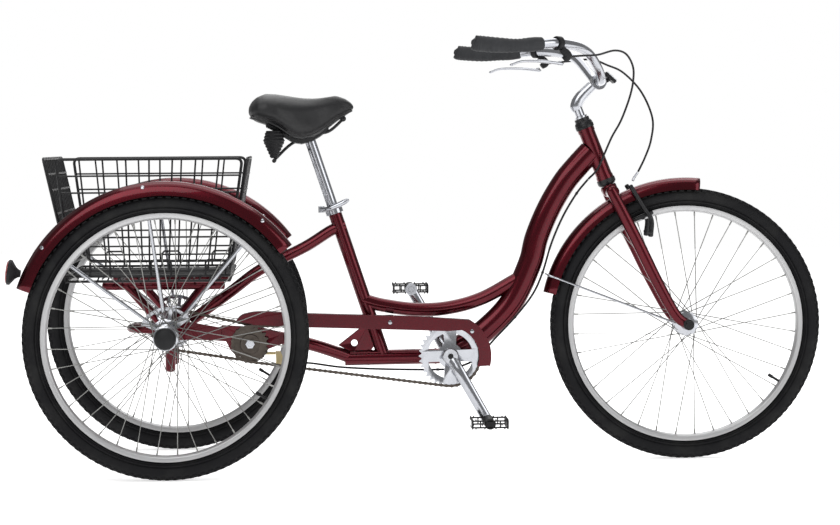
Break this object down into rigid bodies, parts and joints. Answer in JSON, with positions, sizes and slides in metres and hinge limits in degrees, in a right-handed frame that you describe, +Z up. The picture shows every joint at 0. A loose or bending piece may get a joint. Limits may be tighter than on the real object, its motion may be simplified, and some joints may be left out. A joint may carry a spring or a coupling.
{
  "type": "adult tricycle",
  "caption": "Pedal tricycle for an adult: steered front wheel, low curved frame, chain drive through a jackshaft to the rear axle, fenders, sprung saddle and a wire basket.",
  "frame": {"origin": "on the ground, midway between the front and rear axles, on the centre line", "axes": "+X forward along the wheelbase, +Y to the rider's left, +Z up"},
  "size_m": [1.9345, 0.793, 1.0122],
  "materials": {
    "paint": "metallic gloss",
    "steel": "bright",
    "alloy": "satin",
    "chain": "oiled",
    "zinc": "yellow zinc",
    "tyre": "matt",
    "grip": "matt",
    "vinyl": "smooth black vinyl",
    "black_metal": "satin black",
    "black_plastic": "matt",
    "clear_lens": "prismatic",
    "red_lens": "prismatic"
  },
  "bodies": {
    "frame": {"main_frame": "paint", "rear_frame": "paint", "upper_headset_cup": "black_metal", "primary_chain": "chain", "drive_chain": "chain", "chain_guard": "paint", "left_fender": "paint", "right_fender": "paint", "left_fender_bracket": "steel", "right_fender_bracket": "steel", "left_tail_reflector": "red_lens", "right_tail_reflector": "red_lens", "seat_clamp": "steel", "brake_band": "zinc", "basket_floor": "black_metal", "left_basket_panel": "black_metal", "right_basket_panel": "black_metal", "rear_brake_cable_run": "black_plastic"},
    "steering": {"fork": "paint", "front_axle": "black_metal", "front_fender": "paint", "front_fender_stay": "steel", "stem": "steel", "handlebar": "steel", "left_grip": "grip", "right_grip": "grip", "left_lever_bracket": "black_plastic", "right_lever_bracket": "black_plastic", "front_reflector": "clear_lens", "front_brake_cable": "black_plastic", "rear_brake_cable_loop": "black_plastic"},
    "front_wheel": {"front_wheel": "alloy", "front_tyre": "tyre"},
    "left_brake_lever": {"left_brake_lever": "steel"},
    "right_brake_lever": {"right_brake_lever": "steel"},
    "left_brake_arm": {"left_brake_arm": "black_metal"},
    "right_brake_arm": {"right_brake_arm": "black_metal"},
    "band_brake_arm": {"band_brake_arm": "zinc"},
    "rear_axle": {"rear_axle": "steel", "left_wheel": "alloy", "left_tyre": "tyre", "left_hub_cap": "black_plastic"},
    "right_rear_wheel": {"right_wheel": "alloy", "right_tyre": "tyre", "right_hub_cap": "black_plastic"},
    "jackshaft": {"jackshaft": "steel"},
    "freewheel": {"freewheel": "chain"},
    "crankset": {"chainring": "steel", "left_crank": "steel", "right_crank": "steel"},
    "left_pedal": {"left_pedal": "black_plastic"},
    "right_pedal": {"right_pedal": "black_plastic"},
    "seat": {"seat_post": "steel", "saddle_frame": "black_metal", "saddle_pad": "vinyl", "left_saddle_spring": "black_metal", "right_saddle_spring": "black_metal"},
    "seat_clamp_lever": {"seat_clamp_lever": "steel"},
    "front_basket_panel": {"front_basket_panel": "black_metal"},
    "rear_basket_panel": {"rear_basket_panel": "black_metal"}
  },
  "joints": [
    {"name": "steer", "type": "hinge", "parent": "frame", "child": "steering", "pos_m": [0.428, 0, 0.679], "axis": [-0.3661, 0, 0.9306], "range_deg": [-55, 55], "deforming": ["rear_brake_cable_loop"]},
    {"name": "front_wheel_spin", "type": "hinge", "parent": "steering", "child": "front_wheel", "pos_m": [0.62, 0, 0.328], "axis": [0, 1, 0], "continuous": true},
    {"name": "left_brake_squeeze", "type": "hinge", "parent": "steering", "child": "left_brake_lever", "pos_m": [0.291, 0.285, 0.949], "axis": [0.361, 0.9326, 0], "range_deg": [0, 7], "stiffness_Nm_per_rad": 1.5},
    {"name": "right_brake_squeeze", "type": "hinge", "parent": "steering", "child": "right_brake_lever", "pos_m": [0.291, -0.285, 0.949], "axis": [-0.361, 0.9326, 0], "range_deg": [0, 7], "stiffness_Nm_per_rad": 1.5},
    {"name": "left_arm_close", "type": "hinge", "parent": "steering", "child": "left_brake_arm", "pos_m": [0.528, 0.04, 0.55], "axis": [0.9326, 0, 0.361], "range_deg": [0, 1.4]},
    {"name": "right_arm_close", "type": "hinge", "parent": "steering", "child": "right_brake_arm", "pos_m": [0.528, -0.04, 0.55], "axis": [-0.9326, 0, -0.361], "range_deg": [0, 1.4]},
    {"name": "band_brake_pull", "type": "hinge", "parent": "frame", "child": "band_brake_arm", "pos_m": [-0.366, 0.0135, 0.262], "axis": [0, 1, 0], "range_deg": [0, 10.5]},
    {"name": "axle_spin", "type": "hinge", "parent": "frame", "child": "rear_axle", "pos_m": [-0.62, 0, 0.328], "axis": [0, 1, 0], "continuous": true},
    {"name": "right_wheel_spin", "type": "hinge", "parent": "rear_axle", "child": "right_rear_wheel", "pos_m": [-0.62, -0.33, 0.328], "axis": [0, 1, 0], "continuous": true},
    {"name": "jackshaft_spin", "type": "hinge", "parent": "frame", "child": "jackshaft", "pos_m": [-0.432, 0, 0.292], "axis": [0, 1, 0], "continuous": true},
    {"name": "crank_spin", "type": "hinge", "parent": "frame", "child": "crankset", "pos_m": [0.046, 0, 0.259], "axis": [0, 1, 0], "continuous": true},
    {"name": "freewheel_spin", "type": "hinge", "parent": "frame", "child": "freewheel", "pos_m": [-0.432, -0.06, 0.292], "axis": [0, 1, 0], "continuous": true},
    {"name": "left_pedal_spin", "type": "hinge", "parent": "crankset", "child": "left_pedal", "pos_m": [-0.03998, 0.1515, 0.41142], "axis": [0, 1, 0], "continuous": true},
    {"name": "right_pedal_spin", "type": "hinge", "parent": "crankset", "child": "right_pedal", "pos_m": [0.13198, -0.1515, 0.10658], "axis": [0, 1, 0], "continuous": true},
    {"name": "seat_height", "type": "slide", "parent": "frame", "child": "seat", "axis": [-0.3154, 0, 0.949], "range_m": [-0.05, 0.05]},
    {"name": "seat_clamp_turn", "type": "hinge", "parent": "frame", "child": "seat_clamp_lever", "pos_m": [-0.257, 0, 0.6105], "axis": [0, 1, 0], "range_deg": [0, 110]},
    {"name": "front_panel_fold", "type": "hinge", "parent": "frame", "child": "front_basket_panel", "pos_m": [-0.474, 0, 0.479], "axis": [0, 1, 0], "range_deg": [-98, 0]},
    {"name": "rear_panel_fold", "type": "hinge", "parent": "frame", "child": "rear_basket_panel", "pos_m": [-0.846, 0, 0.493], "axis": [0, 1, 0], "range_deg": [0, 101]}
  ],
  "couplings": [
    {"joint": "left_arm_close", "follows": "left_brake_squeeze", "ratio": 0.2},
    {"joint": "right_arm_close", "follows": "left_brake_squeeze", "ratio": 0.2},
    {"joint": "band_brake_pull", "follows": "right_brake_squeeze", "ratio": 1.5},
    {"joint": "jackshaft_spin", "follows": "axle_spin", "ratio": 1.1429},
    {"joint": "freewheel_spin", "follows": "crank_spin", "ratio": 1.7143}
  ]
}
